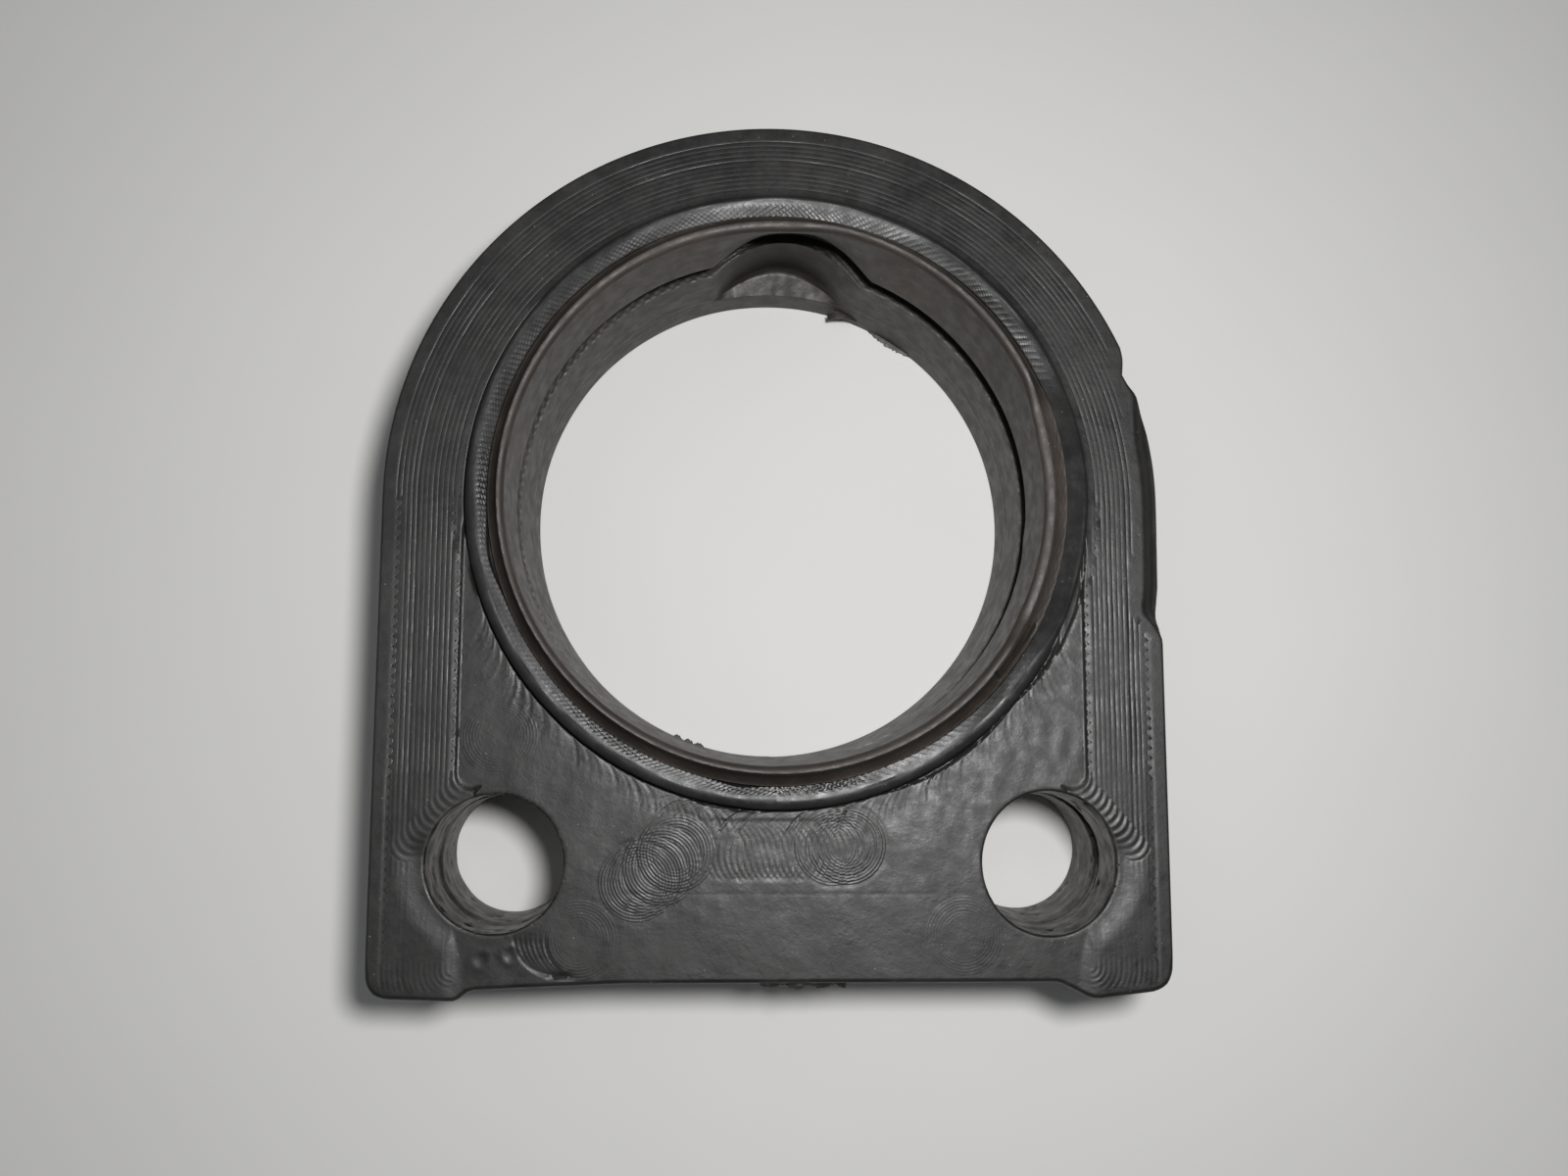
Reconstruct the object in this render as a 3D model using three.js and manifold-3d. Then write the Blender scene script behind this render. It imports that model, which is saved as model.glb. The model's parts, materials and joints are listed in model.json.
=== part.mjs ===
// Arched rubber mounting block with a lined eye, two bolt holes and two feet.
//
// The block lies flat on its back. +Z runs along the eye's axis, out of the front face, and +Y runs
// from the feet to the crown of the arch. The origin is under the middle of the bounding box, on the
// back face. Lengths are millimetres and angles are radians.

import * as THREE from 'three';
import { mergeVertices } from 'three/addons/utils/BufferGeometryUtils.js';
import Module from 'manifold-3d';

const wasm = await Module();
wasm.setup();

// ---------------------------------------------------------------- outline of the block
const ARCH_RADIUS = 40;           // crown radius, and half the width between the straight flanks
const BASE_DEPTH = 48.75;         // from the arch's centre down to the relieved edge between the feet
const FOOT_DROP = 1.45;           // how far the feet stand below that edge
const FOOT_INNER = 31.2;          // half the gap between the feet, at their soles
const FOOT_SLOPE = 1.6;           // width of the slope from each sole up to the relieved edge
const CORNER_RADIUS = 2.2;        // outer bottom corners
const SOLE_DEPTH = BASE_DEPTH + FOOT_DROP;
const ARCH_CENTRE_Y = (SOLE_DEPTH - ARCH_RADIUS) / 2;

// ---------------------------------------------------------------- heights above the back face
const SEAM_Z = 10.6;              // the back and front halves meet here
const FACE_Z = 18.4;              // flat rim of the front face
const FLOOR_Z = 18.1;             // recessed floor between the flanks, below the eye
const SEAT_Z = 17.6;              // bottom of the ring-shaped seat for the collar
const FLOOR_HALF_WIDTH = 31.6;    // the flanks beyond this stand at the height of the rim
const OVERRUN = 1;                // how far each cutting solid runs past the face it cuts

// ---------------------------------------------------------------- bolt holes
const BOLT_X = 27.75;
const BOLT_DEPTH = 37;            // below the arch's centre
const BOLT_RADIUS_FRONT = 6.8;    // M12 clearance
const BOLT_RADIUS_BACK = 6.6;

// ---------------------------------------------------------------- eye
const BORE_RADIUS_BACK = 26.35;   // back half, at the back face
const BORE_RADIUS_SEAM = 27.05;   // back half, at the seam
const BORE_DRAFT = (BORE_RADIUS_SEAM - BORE_RADIUS_BACK) / SEAM_Z;
const LINER_FOOT_Z = 13.4;        // the liner stops above the seam and leaves a groove round the eye
const LINER_INNER = 27.05;        // liner bore, at its foot
const LINER_MOUTH = 27.4;         // liner bore, just under the lip
const LINER_MOUTH_Z = 20.9;
const LINER_OUTER = 29.4;
const LINER_GAP = 0.05;           // liner to front half
const LIP_SHOULDER_Z = 20.1;      // foot of the lip's outer slope
const LIP_SLOPE_RADIUS = 28.6;
const LIP_SLOPE_Z = 21.2;
const LIP_RADIUS = 28.1;          // middle of the lip's crown
const LIP_Z = 21.5;               // crown of the lip, the highest point of the block
const COLLAR_OUTER = 31.65;
const COLLAR_GAP = 0.1;           // collar to liner and to its seat
const COLLAR_SHOULDER_Z = 19.3;   // top of the collar's upright outer wall
const COLLAR_SHOULDER_WIDTH = 0.7;
const COLLAR_SHOULDER_HEIGHT = 0.5;
const COLLAR_SHOULDER_STEPS = 3;
const COLLAR_RIM_Z = 20.5;        // top of the collar's inner edge
const EYE_SEGMENTS = 96;
const BOLT_SEGMENTS = 48;
const ARCH_SEGMENTS = 48;

// ---------------------------------------------------------------- keyway notch at the crown
const NOTCH_ANGLE = THREE.MathUtils.degToRad(87.2);  // middle of the notch, from +X towards +Y
const NOTCH_HALF_ANGLE = THREE.MathUtils.degToRad(17);
const NOTCH_FLOOR_Z = 4;
const NOTCH_ROOF_Z = 16.6;        // in the front half
const LINER_SLOT_TOP_Z = 19;      // the lip closes the slot above this
const NOTCH_RADIUS_BACK = 30.3;   // at the seam, in the back half
const NOTCH_RADIUS_FRONT = 31.2;  // in the front half
const NOTCH_STEPS = 20;
const NOTCH_SETBACK = 4;          // how far inside the bore the cutter starts
const NOTCH_CROWN_POWER = 4;      // a higher power makes the crown flatter
const NOTCH_SIDE_POWER = 1.3;     // above 1, the sides leave the bore without a corner

// ---------------------------------------------------------------- materials
const BACK_RUBBER = { color: 0x242322, roughness: 0.7 };
const FRONT_RUBBER = { color: 0x2a2928, roughness: 0.62 };
const COLLAR_RUBBER = { color: 0x333130, roughness: 0.5 };
const LINER_RUBBER = { color: 0x2c2725, roughness: 0.55 };

// Turns a closed geometry into a solid that can be joined and cut.
function toSolid(geometry) {
  const bare = geometry.clone();
  bare.deleteAttribute('normal');
  bare.deleteAttribute('uv');
  const merged = mergeVertices(bare);
  const vertProperties = new Float32Array(merged.attributes.position.array);
  const triVerts = new Uint32Array(merged.index.array);
  return new wasm.Manifold(new wasm.Mesh({ numProp: 3, vertProperties, triVerts }));
}

function toGeometry(solid) {
  const mesh = solid.getMesh();
  const geometry = new THREE.BufferGeometry();
  geometry.setAttribute('position', new THREE.BufferAttribute(mesh.vertProperties, 3));
  geometry.setIndex(new THREE.BufferAttribute(mesh.triVerts, 1));
  geometry.computeVertexNormals();
  return geometry;
}

// Extrudes a flat shape straight up from one height to another. A shape without arcs needs no
// curve segments.
function prism(shape, bottom, top, curveSegments = 1) {
  const geometry = new THREE.ExtrudeGeometry(shape, {
    depth: top - bottom,
    bevelEnabled: false,
    curveSegments,
  });
  geometry.translate(0, 0, bottom);
  return geometry;
}

// A cone frustum along Z, which becomes a cylinder when both radii agree.
function frustum(radiusBottom, radiusTop, bottom, top, segments) {
  const geometry = new THREE.CylinderGeometry(radiusTop, radiusBottom, top - bottom, segments);
  geometry.rotateX(Math.PI / 2);
  geometry.translate(0, 0, (bottom + top) / 2);
  return geometry;
}

// A ring about Z from a closed profile of [radius, height] points, counter-clockwise.
function ring(profile) {
  const points = profile.map(([radius, height]) => new THREE.Vector2(radius, height));
  const geometry = new THREE.LatheGeometry([...points, points[0]], EYE_SEGMENTS);
  geometry.rotateX(Math.PI / 2);
  return geometry;
}

// A quarter turn of rounding as [radius, height] points, both ends included.
function roundedShoulder(centreRadius, centreHeight, halfWidth, halfHeight, steps) {
  const points = [];
  for (let i = 0; i <= steps; i += 1) {
    const angle = (Math.PI / 2) * (i / steps);
    points.push([centreRadius + halfWidth * Math.cos(angle), centreHeight + halfHeight * Math.sin(angle)]);
  }
  return points;
}

// The D-shaped outline, with the feet at the bottom and the arch on top, centred on the arch.
function blockOutline() {
  const shape = new THREE.Shape();
  const slopeEnd = FOOT_INNER - FOOT_SLOPE;
  const cornerX = ARCH_RADIUS - CORNER_RADIUS;
  const cornerY = -SOLE_DEPTH + CORNER_RADIUS;
  shape.moveTo(-cornerX, -SOLE_DEPTH);
  shape.lineTo(-FOOT_INNER, -SOLE_DEPTH);
  shape.lineTo(-slopeEnd, -BASE_DEPTH);
  shape.lineTo(slopeEnd, -BASE_DEPTH);
  shape.lineTo(FOOT_INNER, -SOLE_DEPTH);
  shape.lineTo(cornerX, -SOLE_DEPTH);
  shape.absarc(cornerX, cornerY, CORNER_RADIUS, -Math.PI / 2, 0);
  shape.absarc(0, 0, ARCH_RADIUS, 0, Math.PI);
  shape.absarc(-cornerX, cornerY, CORNER_RADIUS, Math.PI, 1.5 * Math.PI);
  return shape;
}

// A slab of the block between two heights, without any holes.
function slab(bottom, top) {
  return toSolid(prism(blockOutline(), bottom, top, ARCH_SEGMENTS));
}

// One of the two bolt-hole cutters. side is -1 for the left hole and 1 for the right one.
function boltCutter(side, radius, bottom, top) {
  const geometry = frustum(radius, radius, bottom - OVERRUN, top + OVERRUN, BOLT_SEGMENTS);
  geometry.translate(side * BOLT_X, -BOLT_DEPTH, 0);
  return toSolid(geometry);
}

// The notch's cutter: a scallop that leaves the bore smoothly, with a broad, nearly round crown.
// Its wall stays square in the front half and follows the bore's draft in the back half.
function notchCutter(boreRadius, crownRadius, bottom, top, draft) {
  const startRadius = boreRadius - NOTCH_SETBACK;
  const shape = new THREE.Shape();
  const pointAt = (radius, turn) => {
    const angle = NOTCH_ANGLE + turn * NOTCH_HALF_ANGLE;
    return new THREE.Vector2(radius * Math.cos(angle), radius * Math.sin(angle));
  };
  const outline = [pointAt(startRadius, -1)];
  for (let i = 0; i <= NOTCH_STEPS; i += 1) {
    const turn = -1 + (2 * i) / NOTCH_STEPS;
    const rise = (1 - turn ** NOTCH_CROWN_POWER) ** NOTCH_SIDE_POWER;
    outline.push(pointAt(boreRadius + (crownRadius - boreRadius) * rise, turn));
  }
  outline.push(pointAt(startRadius, 1));
  shape.setFromPoints(outline);
  const geometry = prism(shape, bottom, top);
  const position = geometry.attributes.position;
  for (let i = 0; i < position.count; i += 1) {
    const scale = 1 - (draft * (SEAM_Z - position.getZ(i))) / boreRadius;
    position.setX(i, position.getX(i) * scale);
    position.setY(i, position.getY(i) * scale);
  }
  return toSolid(geometry);
}

// Back half: from the back face to the seam, with the tapered rear of the bore.
function backHalf() {
  const bore = frustum(
    BORE_RADIUS_BACK - BORE_DRAFT * OVERRUN,
    BORE_RADIUS_SEAM + BORE_DRAFT * OVERRUN,
    -OVERRUN,
    SEAM_Z + OVERRUN,
    EYE_SEGMENTS,
  );
  const notch = notchCutter(
    BORE_RADIUS_SEAM,
    NOTCH_RADIUS_BACK,
    NOTCH_FLOOR_Z,
    SEAM_Z + OVERRUN,
    BORE_DRAFT,
  );
  return slab(0, SEAM_Z)
    .subtract(toSolid(bore))
    .subtract(notch)
    .subtract(boltCutter(-1, BOLT_RADIUS_BACK, 0, SEAM_Z))
    .subtract(boltCutter(1, BOLT_RADIUS_BACK, 0, SEAM_Z));
}

// Front half: from the seam to the front face, with the recessed floor, the collar's seat and the
// hole that the liner stands in.
function frontHalf() {
  const floorDepth = SOLE_DEPTH + OVERRUN;
  const floor = new THREE.BoxGeometry(2 * FLOOR_HALF_WIDTH, floorDepth, FACE_Z - FLOOR_Z + OVERRUN);
  floor.translate(0, -floorDepth / 2, (FACE_Z + FLOOR_Z + OVERRUN) / 2);
  const seatRadius = COLLAR_OUTER + COLLAR_GAP;
  const seat = frustum(seatRadius, seatRadius, SEAT_Z, FACE_Z + OVERRUN, EYE_SEGMENTS);
  const holeRadius = LINER_OUTER + LINER_GAP;
  const hole = frustum(holeRadius, holeRadius, SEAM_Z - OVERRUN, FACE_Z + OVERRUN, EYE_SEGMENTS);
  const notch = notchCutter(LINER_INNER, NOTCH_RADIUS_FRONT, SEAM_Z - OVERRUN, NOTCH_ROOF_Z, 0);
  return slab(SEAM_Z, FACE_Z)
    .subtract(toSolid(floor))
    .subtract(toSolid(seat))
    .subtract(toSolid(hole))
    .subtract(notch)
    .subtract(boltCutter(-1, BOLT_RADIUS_FRONT, SEAM_Z, FACE_Z))
    .subtract(boltCutter(1, BOLT_RADIUS_FRONT, SEAM_Z, FACE_Z));
}

// Collar: the bead that stands out of the front face round the eye. Its land rises inwards from a
// rounded outer shoulder to a sharp inner edge.
function eyeCollar() {
  const inner = LINER_OUTER + COLLAR_GAP;
  const shoulder = roundedShoulder(
    COLLAR_OUTER - COLLAR_SHOULDER_WIDTH,
    COLLAR_SHOULDER_Z,
    COLLAR_SHOULDER_WIDTH,
    COLLAR_SHOULDER_HEIGHT,
    COLLAR_SHOULDER_STEPS,
  );
  return toSolid(ring([[inner, SEAT_Z], [COLLAR_OUTER, SEAT_Z], ...shoulder, [inner, COLLAR_RIM_Z]]));
}

// Liner: the sleeve that lines the front of the eye, with a rounded lip inside the collar and a
// slot for the notch.
function eyeLiner() {
  const body = toSolid(ring([
    [LINER_INNER, LINER_FOOT_Z],
    [LINER_OUTER, LINER_FOOT_Z],
    [LINER_OUTER, LIP_SHOULDER_Z],
    [LIP_SLOPE_RADIUS, LIP_SLOPE_Z],
    [LIP_RADIUS, LIP_Z],
    [(LIP_RADIUS + LINER_MOUTH) / 2, (LIP_Z + LIP_SLOPE_Z) / 2],
    [LINER_MOUTH, LINER_MOUTH_Z],
  ]));
  const slotFoot = LINER_FOOT_Z - OVERRUN;
  return body.subtract(notchCutter(LINER_INNER, NOTCH_RADIUS_FRONT, slotFoot, LINER_SLOT_TOP_Z, 0));
}

function piece(name, solid, rubber) {
  const material = new THREE.MeshStandardMaterial({ ...rubber, metalness: 0, flatShading: true });
  const mesh = new THREE.Mesh(toGeometry(solid), material);
  mesh.name = name;
  return mesh;
}

const block = new THREE.Group();
block.position.y = ARCH_CENTRE_Y;
block.add(piece('back_half', backHalf(), BACK_RUBBER));
block.add(piece('front_half', frontHalf(), FRONT_RUBBER));
block.add(piece('eye_collar', eyeCollar(), COLLAR_RUBBER));
block.add(piece('eye_liner', eyeLiner(), LINER_RUBBER));

export default block;
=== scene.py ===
# The looks of the arched rubber eye block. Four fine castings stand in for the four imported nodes. Tool
# marks, seams, cracks, flash and wear are geometry. Grain, dust, the finest pits and the finest rings of
# the swirls are in the materials.
#
# Shapes are worked out in millimetres from the centre of the eye, with x to the right, y to the crown and
# z up from the back face. place() turns them into metres in the shared frame. Angles round the eye are
# compass angles in degrees, clockwise from the crown.

import json
import math

import bmesh
import bpy
import numpy as np
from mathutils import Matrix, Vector
from mathutils.geometry import delaunay_2d_cdt


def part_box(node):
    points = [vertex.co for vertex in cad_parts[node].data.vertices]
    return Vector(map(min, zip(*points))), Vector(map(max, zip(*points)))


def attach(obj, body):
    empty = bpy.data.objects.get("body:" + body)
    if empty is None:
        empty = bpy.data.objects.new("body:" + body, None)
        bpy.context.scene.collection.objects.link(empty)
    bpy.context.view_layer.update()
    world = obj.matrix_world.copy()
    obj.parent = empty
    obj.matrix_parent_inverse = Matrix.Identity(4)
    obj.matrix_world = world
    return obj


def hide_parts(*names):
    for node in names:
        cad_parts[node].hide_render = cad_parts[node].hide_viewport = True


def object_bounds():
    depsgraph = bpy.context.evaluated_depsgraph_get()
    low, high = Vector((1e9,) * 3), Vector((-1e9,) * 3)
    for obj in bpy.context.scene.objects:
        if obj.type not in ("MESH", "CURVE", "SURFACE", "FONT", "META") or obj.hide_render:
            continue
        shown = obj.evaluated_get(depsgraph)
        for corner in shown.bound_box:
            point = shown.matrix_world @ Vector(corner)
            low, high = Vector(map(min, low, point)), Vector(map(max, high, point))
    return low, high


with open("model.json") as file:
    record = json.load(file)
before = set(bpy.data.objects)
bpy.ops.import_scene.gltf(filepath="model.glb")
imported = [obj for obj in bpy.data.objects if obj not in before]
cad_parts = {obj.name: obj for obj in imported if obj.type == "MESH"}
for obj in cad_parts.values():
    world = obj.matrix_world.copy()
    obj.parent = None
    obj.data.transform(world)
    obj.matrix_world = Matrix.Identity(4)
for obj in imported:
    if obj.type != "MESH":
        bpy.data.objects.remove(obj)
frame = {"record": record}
cad_low, cad_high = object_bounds()

MM = 0.001
CIRCLE = 2 * math.pi

# ------------ sizes taken from the frame
BACK_LOW, BACK_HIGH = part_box("back_half")
FRONT_LOW, FRONT_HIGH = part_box("front_half")
COLLAR_LOW, COLLAR_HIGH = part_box("eye_collar")
LINER_LOW, LINER_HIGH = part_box("eye_liner")
EYE_CENTRE = (COLLAR_LOW + COLLAR_HIGH) / 2

ARCH_RADIUS = (FRONT_HIGH.x - FRONT_LOW.x) / 2 / MM
SEAM_Z = BACK_HIGH.z / MM
FACE_Z = FRONT_HIGH.z / MM
COLLAR_OUTER = (COLLAR_HIGH.x - COLLAR_LOW.x) / 2 / MM
SEAT_Z = COLLAR_LOW.z / MM
LINER_OUTER = (LINER_HIGH.x - LINER_LOW.x) / 2 / MM
LINER_FOOT_Z = LINER_LOW.z / MM
LIP_Z = LINER_HIGH.z / MM
MOUNTS = {m["name"]: m for m in frame["record"]["mounts"]}
OPENINGS = {o["name"]: o["box_m"] for o in frame["record"]["physics"]["openings"]}
FLOOR_Z = MOUNTS["right_bolt_face"]["pos_m"][2] / MM
BOLT_BOX = OPENINGS["right_bolt_hole"]
BOLT_X = (BOLT_BOX[0][0] + BOLT_BOX[1][0]) / 2 / MM
BOLT_Y = ((BOLT_BOX[0][1] + BOLT_BOX[1][1]) / 2 - EYE_CENTRE.y) / MM

# ------------ sizes of the finer shapes
BOLT_RADIUS_FRONT = 6.8
BOLT_RADIUS_BACK = 6.6
BOLT_STRETCH = 1.055  # the right bolt hole is this much taller than wide at the front face
BOLT_DRIFT = {-1: (-0.38, 0.1), 1: (0.28, 0.35)}  # how far each hole's back end has wandered, x and y
BOLT_SEAM_FACING = {-1: 200, 1: 38}  # where each hole's seam opens most, in degrees from +x
BOLT_SEAM_DEPTH = {-1: 0.25, 1: 0.75}
BOLT_PITS = 46
RIM_ROUND = 0.28  # rounding of the bolt holes' front rims
BORE_RADIUS_BACK = 26.35
BORE_RADIUS_SEAM = 27.05
LINER_MOUTH = 27.4
NOTCH_FLOOR_Z = 4.0
NOTCH_ROOF_Z = 16.6
NOTCH_RADIUS_BACK = 30.3
NOTCH_RADIUS_FRONT = 31.2
NOTCH_RADIUS_LINER = 30.6
PIECE_GAP = 0.05
TORN_EDGE = (  # height up the right flank, and how far the torn edge stands in
    (-14.5, 0.0), (-13.6, 0.3), (-11.7, 0.42), (-8.9, 0.1), (-1.5, 0.0), (3.6, 0.0),
    (7.4, 0.05), (11.5, 0.3), (12.7, 0.8), (13.9, 1.0), (15.3, 0.3), (16.4, 0.0),
)
RING_SPREAD = 0.27  # the collar is this much wider than its nominal size
RING_SHIFT = 0.45  # and stands this far off the eye's centre
RING_HEADING = 55.0  # towards this compass angle
CREASE_SPREAD = 0.2  # the crease between lip and collar, from the liner's nominal size
SHOULDER_Z = 19.55
CREASE_Z = 19.35

PASS_PITCH = 0.516  # between neighbouring tool passes on the face
FLOOR_BORDER = 31.75  # half width of the recessed floor
PASS_DEPTH = 0.04
HOOK_RADIUS = 1.65  # turns of the tool path beside each bolt hole
HOOK_START = (30.15, -28.0)
HOOK_STEP = (PASS_PITCH, -0.6)
HOOK_COUNT = 12
FOOT_TURN = (31.6, -47.2)  # centre of the turns at each foot
CUTTER_RADIUS = 4.0
EDGE_RADIUS = 0.3
LEDGE_DEPTH = 0.8  # how deep the right flank's front edge is worn

EYE_COLUMNS = 720  # points in a row round the eye, in each kind of piece
COLLAR_COLUMNS = 1700
LINER_COLUMNS = 1200
BOLT_COLUMNS = 170
OUTLINE_STEP = 0.56
WELD_DISTANCE = 0.002
SMOOTH_ANGLE = 38.0

# Swirls left by the cutter on the floor: centre x and y, and strength.
SWIRLS = (
    (7.3, -35.2, 1.0),
    (5.9, -35.3, 0.7),
    (-9.8, -35.9, 0.8),
    (-11.2, -37.2, 0.7),
    (-12.5, -38.2, 0.6),
    (-13.6, -38.8, 0.8),
    (19.0, -44.1, 0.25),
    (-19.3, -44.4, 0.35),
    (-27.6, -24.4, 0.3),
)

# Cracks beside the collar: first and last angle, how far out they swing, and where they start.
CRACKS = (
    (97.0, 131.0, 0.95, 0.0),
    (130.0, 162.0, 0.55, 0.02),
    (183.0, 197.0, 0.32, 0.0),
)

# Raised slivers beside the collar: angle, distance from the collar, and width in degrees.
SLIVERS = (
    (121.5, 0.32, 3.6),
    (143.5, 0.25, 2.2),
    (187.0, 0.2, 2.6),
    (254.0, 0.25, 2.2),
)
DIMPLES = ((-28.8, -46.25), (-25.9, -45.8))

# Where the collar's land is hatched most: angle, strength, and width in degrees.
HATCHED_PARTS = (
    (3, 1.1, 15),
    (-88, 0.9, 9),
    (-62, 0.5, 14),
    (-142, 0.9, 17),
    (170, 0.8, 22),
    (55, 0.5, 18),
)

# ------------ camera and lights, in metres
CAMERA_LENS = 31.84
CAMERA_PLACE = (-0.00542, -0.02161, 0.15871)
CAMERA_TURN = (7.051, -2.595, 0.097)
KEY_PLACE = (0.0229, 0.0001, 0.1867)
FILL_PLACE = (-0.3, 0.1, 0.7)


# ------------ small tools
def smooth(value, low, high):
    """0 below low and 1 above high, with a smooth rise between them."""
    share = np.clip((np.asarray(value, float) - low) / (high - low), 0, 1)
    return share * share * (3 - 2 * share)


def window(value, low, high, fade):
    """1 between low and high, fading to 0 over the distance given outside them."""
    return smooth(value, low - fade, low) * (1 - smooth(value, high, high + fade))


def bump(value, centre, width):
    return np.exp(-(((np.asarray(value, float) - centre) / width) ** 2))


def ripple(u, v, length, seed, waves=9):
    """A smooth random surface between about -1 and 1, with features of the length given."""
    random = np.random.default_rng(seed)
    total = np.zeros(np.broadcast(u, v).shape)
    for _ in range(waves):
        heading = random.uniform(0, CIRCLE)
        frequency = CIRCLE / (length * random.uniform(0.7, 1.6))
        phase = random.uniform(0, CIRCLE)
        total = total + np.sin(frequency * (u * math.cos(heading) + v * math.sin(heading)) + phase)
    return total / math.sqrt(waves * 2)


def compass(x, y):
    return np.degrees(np.arctan2(x, y))


def hatching(travel, pitch):
    """A row of rounded ridges from 0 to 1, one for each pitch of travel."""
    return np.maximum(0, np.sin(CIRCLE * travel / pitch)) ** 2


def full_turn(count):
    """Evenly spaced compass angles, once round."""
    return np.linspace(-180, 180, count, endpoint=False)


def turn_from(angle, centre):
    """Signed difference between two compass angles."""
    return (np.asarray(angle, float) - centre + 180) % 360 - 180


def polar(radius, angle):
    """x and y of a point at a compass angle."""
    radians = np.radians(angle)
    return radius * np.sin(radians), radius * np.cos(radians)


def place(points):
    """Millimetres from the eye's centre to metres in the shared frame."""
    points = np.asarray(points, float).reshape(-1, 3) * MM
    return points + np.array([EYE_CENTRE.x, EYE_CENTRE.y, 0.0])


def lift(points, z):
    """Flat points at a height, which is one for all of them or one for each."""
    return np.column_stack([points, np.broadcast_to(z, len(points))])


def add_object(name, data):
    item = bpy.data.objects.new(name, data)
    bpy.context.scene.collection.objects.link(item)
    return item


class Shell:
    """Patches of one closed piece. Neighbouring patches share their edge points and are welded."""

    def __init__(self):
        self.points = []
        self.faces = []
        self.count = 0

    def add(self, points, faces):
        points = np.asarray(points, float).reshape(-1, 3)
        self.points.append(points)
        self.faces.extend((np.asarray(faces) + self.count).tolist())
        self.count += len(points)

    def grid(self, rows):
        """Quads over rows of points, with the last column joined to the first."""
        rows = np.asarray(rows, float)
        height, width = rows.shape[:2]
        number = np.arange(height * width).reshape(height, width)
        following = np.roll(number, -1, axis=1)
        quads = np.stack([number[:-1], following[:-1], following[1:], number[1:]], axis=-1)
        self.add(rows, quads.reshape(-1, 4))

    def build(self, name, material, stands_for=None):
        mesh = bpy.data.meshes.new(name)
        mesh.from_pydata(place(np.concatenate(self.points)).tolist(), [], self.faces)
        work = bmesh.new()
        work.from_mesh(mesh)
        bmesh.ops.remove_doubles(work, verts=work.verts, dist=WELD_DISTANCE * MM)
        bmesh.ops.dissolve_degenerate(work, edges=work.edges, dist=WELD_DISTANCE / 2 * MM)
        bmesh.ops.recalc_face_normals(work, faces=work.faces)
        work.to_mesh(mesh)
        work.free()
        mesh.materials.append(material)
        mesh.shade_smooth()
        mesh.set_sharp_from_angle(angle=math.radians(SMOOTH_ANGLE))
        piece = add_object(name, mesh)
        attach(piece, "root")
        if stands_for:
            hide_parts(stands_for)
        return piece


def inside_loop(points, loop):
    """Which points lie inside a closed loop."""
    result = np.zeros(len(points), bool)
    x, y = points[:, 0], points[:, 1]
    for (x0, y0), (x1, y1) in zip(loop, np.roll(loop, -1, axis=0)):
        if y0 == y1:
            continue
        crosses = (y0 > y) != (y1 > y)
        result ^= crosses & (x < (x1 - x0) * (y - y0) / (y1 - y0) + x0)
    return result


def triangulate(outer, holes, inner_points=()):
    """Triangles that fill a loop with holes in it, through the inner points."""
    points, edges = [], []
    for loop in [outer, *holes]:
        start, size = len(points), len(loop)
        points.extend(loop)
        edges.extend((start + i, start + (i + 1) % size) for i in range(size))
    points.extend(inner_points)
    made = delaunay_2d_cdt([Vector(p) for p in points], edges, [], 0, 1e-5, False)
    vertices = np.array([tuple(v) for v in made[0]])
    faces = np.array(made[2])
    middle = vertices[faces].mean(axis=1)
    keep = inside_loop(middle, np.asarray(outer))
    for hole in holes:
        keep &= ~inside_loop(middle, np.asarray(hole))
    return vertices, faces[keep]


# ------------ outline of the block
def rounded_path(corners, step):
    """Points along straight runs between corners given as (x, y, fillet radius)."""
    path = []
    for before, corner, after in zip(corners, corners[1:], corners[2:]):
        here = np.array(corner[:2])
        back = np.array(before[:2]) - here
        ahead = np.array(after[:2]) - here
        back /= np.linalg.norm(back)
        ahead /= np.linalg.norm(ahead)
        half = math.acos(float(np.clip(back @ ahead, -1, 1))) / 2
        reach = corner[2] / math.tan(half)
        bisector = (back + ahead) / np.linalg.norm(back + ahead)
        centre = here + bisector * corner[2] / math.sin(half)
        first, last = here + back * reach - centre, here + ahead * reach - centre
        start = math.atan2(first[1], first[0])
        sweep = (math.atan2(last[1], last[0]) - start + math.pi) % (CIRCLE) - math.pi
        count = max(3, int(abs(sweep) * corner[2] / step))
        for share in np.linspace(0, 1, count):
            angle = start + sweep * share
            path.append(centre + corner[2] * np.array([math.cos(angle), math.sin(angle)]))
    return path


def block_outline():
    """The closed outline, counter-clockwise: left flank, feet, right flank, arch."""
    corners = (
        (-ARCH_RADIUS, -4.0, 0.0),
        (-ARCH_RADIUS, -49.95, 2.2),
        (-31.2, -50.28, 1.0),
        (-29.8, -49.25, 1.4),
        (-15.0, -48.7, 9.0),
        (28.5, -48.75, 1.2),
        (31.9, -50.42, 2.2),
        (ARCH_RADIUS, -49.45, 2.3),
        (ARCH_RADIUS, -4.0, 0.0),
    )
    path = [np.array([-ARCH_RADIUS, 0.0])]
    path += rounded_path(corners, OUTLINE_STEP)
    path.append(np.array([ARCH_RADIUS, 0.0]))
    for angle in np.linspace(0, math.pi, 180)[1:-1]:
        path.append(ARCH_RADIUS * np.array([math.cos(angle), math.sin(angle)]))
    path = np.array(path)
    closed = np.vstack([path, path[:1]])
    lengths = np.hypot(*np.diff(closed, axis=0).T)
    travel = np.concatenate([[0], np.cumsum(lengths)])
    even = np.linspace(0, travel[-1], int(travel[-1] / OUTLINE_STEP), endpoint=False)
    return np.stack([np.interp(even, travel, closed[:, k]) for k in (0, 1)], axis=1)


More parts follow.
